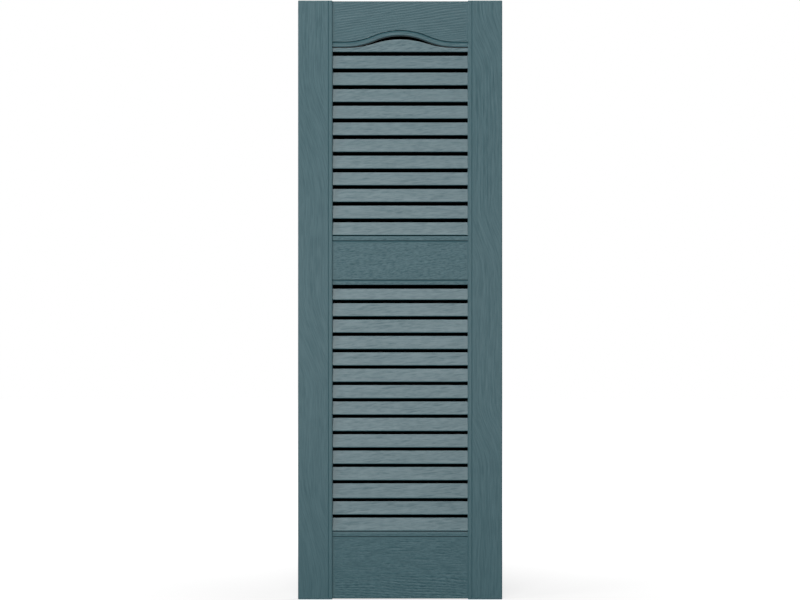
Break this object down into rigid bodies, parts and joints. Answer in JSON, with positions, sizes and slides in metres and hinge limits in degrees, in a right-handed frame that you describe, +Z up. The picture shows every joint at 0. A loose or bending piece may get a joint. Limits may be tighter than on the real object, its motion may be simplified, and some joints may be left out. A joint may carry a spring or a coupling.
{
  "type": "vinyl shutter",
  "caption": "Upright louvred facade shutter with an arched top rail and a middle rail, moulded in one piece with an open, ribbed back.",
  "frame": {"origin": "middle of the foot: centred on the width and the depth, at the stiles' lower ends", "axes": "+X to the right as seen from the front, -Y out of the louvred front, +Y towards the wall behind, +Z up"},
  "size_m": [0.3682, 0.0254, 1.0795],
  "materials": {
    "vinyl": "embossed wood grain, low sheen, coloured through"
  },
  "bodies": {
    "root": {"shutter": "vinyl"}
  },
  "joints": []
}
